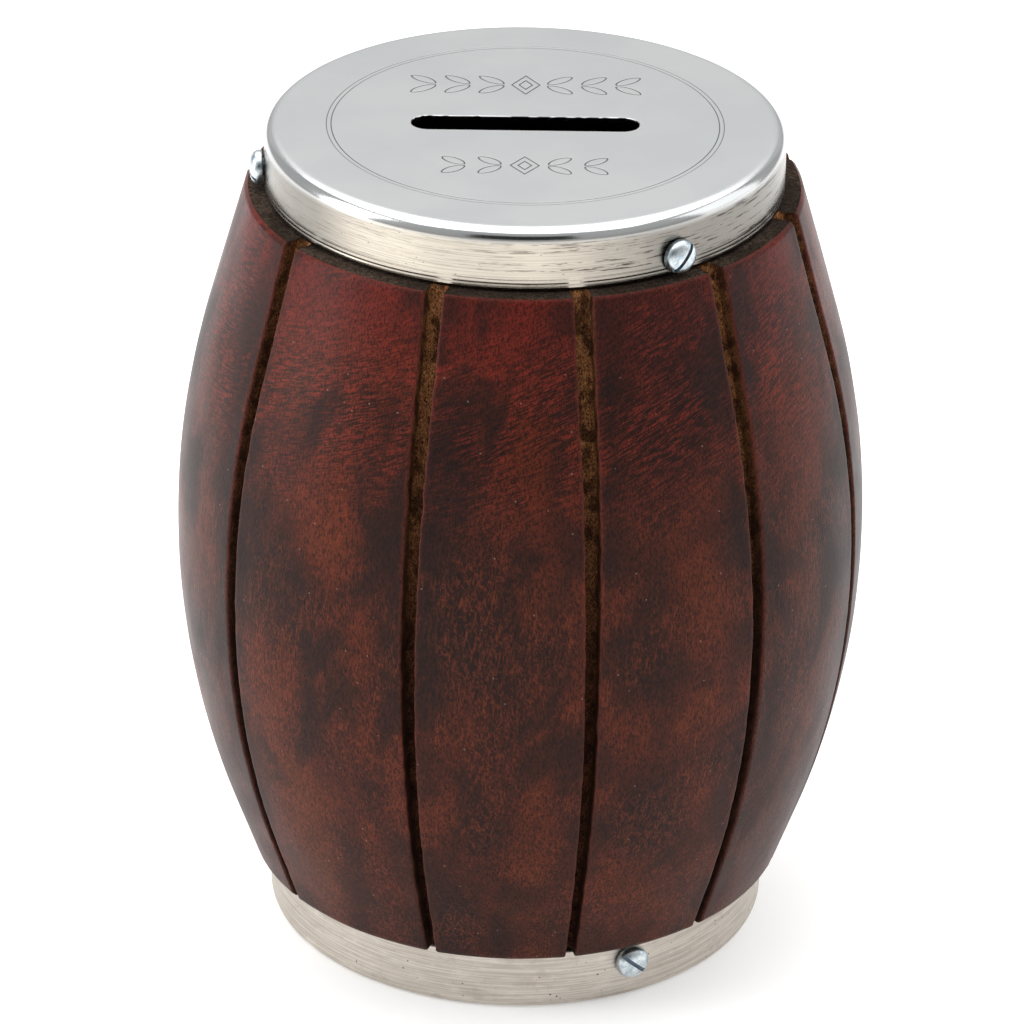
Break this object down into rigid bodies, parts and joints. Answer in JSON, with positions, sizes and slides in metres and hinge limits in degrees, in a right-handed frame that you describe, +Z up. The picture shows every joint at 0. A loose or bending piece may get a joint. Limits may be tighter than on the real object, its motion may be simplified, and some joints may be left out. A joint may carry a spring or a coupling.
{
  "type": "money box",
  "caption": "Barrel-shaped wooden money box with metal caps on both ends, a coin slot in the top cap and slotted screws that hold the caps.",
  "frame": {"origin": "centre of the underside, on the surface that the box stands on", "axes": "+Z up along the barrel's axis; the coin slot runs along X; -Y is the front"},
  "size_m": [0.1142, 0.1142, 0.142],
  "materials": {
    "stained_wood": "dark reddish stain, semi-gloss varnish",
    "top_metal": "satin on top, brushed round the skirt",
    "base_metal": "matt, brushed round the skirt",
    "screw_zinc": "bright zinc plate"
  },
  "bodies": {
    "box": {"barrel_body": "stained_wood", "top_cap": "top_metal", "base_cap": "base_metal"},
    "top_screw_front": {"top_screw_front": "screw_zinc"},
    "top_screw_rear": {"top_screw_rear": "screw_zinc"},
    "top_screw_left": {"top_screw_left": "screw_zinc"},
    "base_screw_front": {"base_screw_front": "screw_zinc"},
    "base_screw_right": {"base_screw_right": "screw_zinc"},
    "base_screw_rear": {"base_screw_rear": "screw_zinc"}
  },
  "joints": [
    {"name": "top_screw_front_withdraw", "type": "slide", "parent": "box", "child": "top_screw_front", "axis": [0.5707, -0.8211, 0], "range_m": [0, 0.01]},
    {"name": "top_screw_rear_withdraw", "type": "slide", "parent": "box", "child": "top_screw_rear", "axis": [0.4384, 0.8988, 0], "range_m": [0, 0.01]},
    {"name": "top_screw_left_withdraw", "type": "slide", "parent": "box", "child": "top_screw_left", "axis": [-0.9976, -0.0698, 0], "range_m": [0, 0.01]},
    {"name": "base_screw_front_withdraw", "type": "slide", "parent": "box", "child": "base_screw_front", "axis": [0.4587, -0.8886, 0], "range_m": [0, 0.01]},
    {"name": "base_screw_right_withdraw", "type": "slide", "parent": "box", "child": "base_screw_right", "axis": [0.5519, 0.8339, 0], "range_m": [0, 0.01]},
    {"name": "base_screw_rear_withdraw", "type": "slide", "parent": "box", "child": "base_screw_rear", "axis": [-0.9613, 0.2756, 0], "range_m": [0, 0.01]}
  ]
}
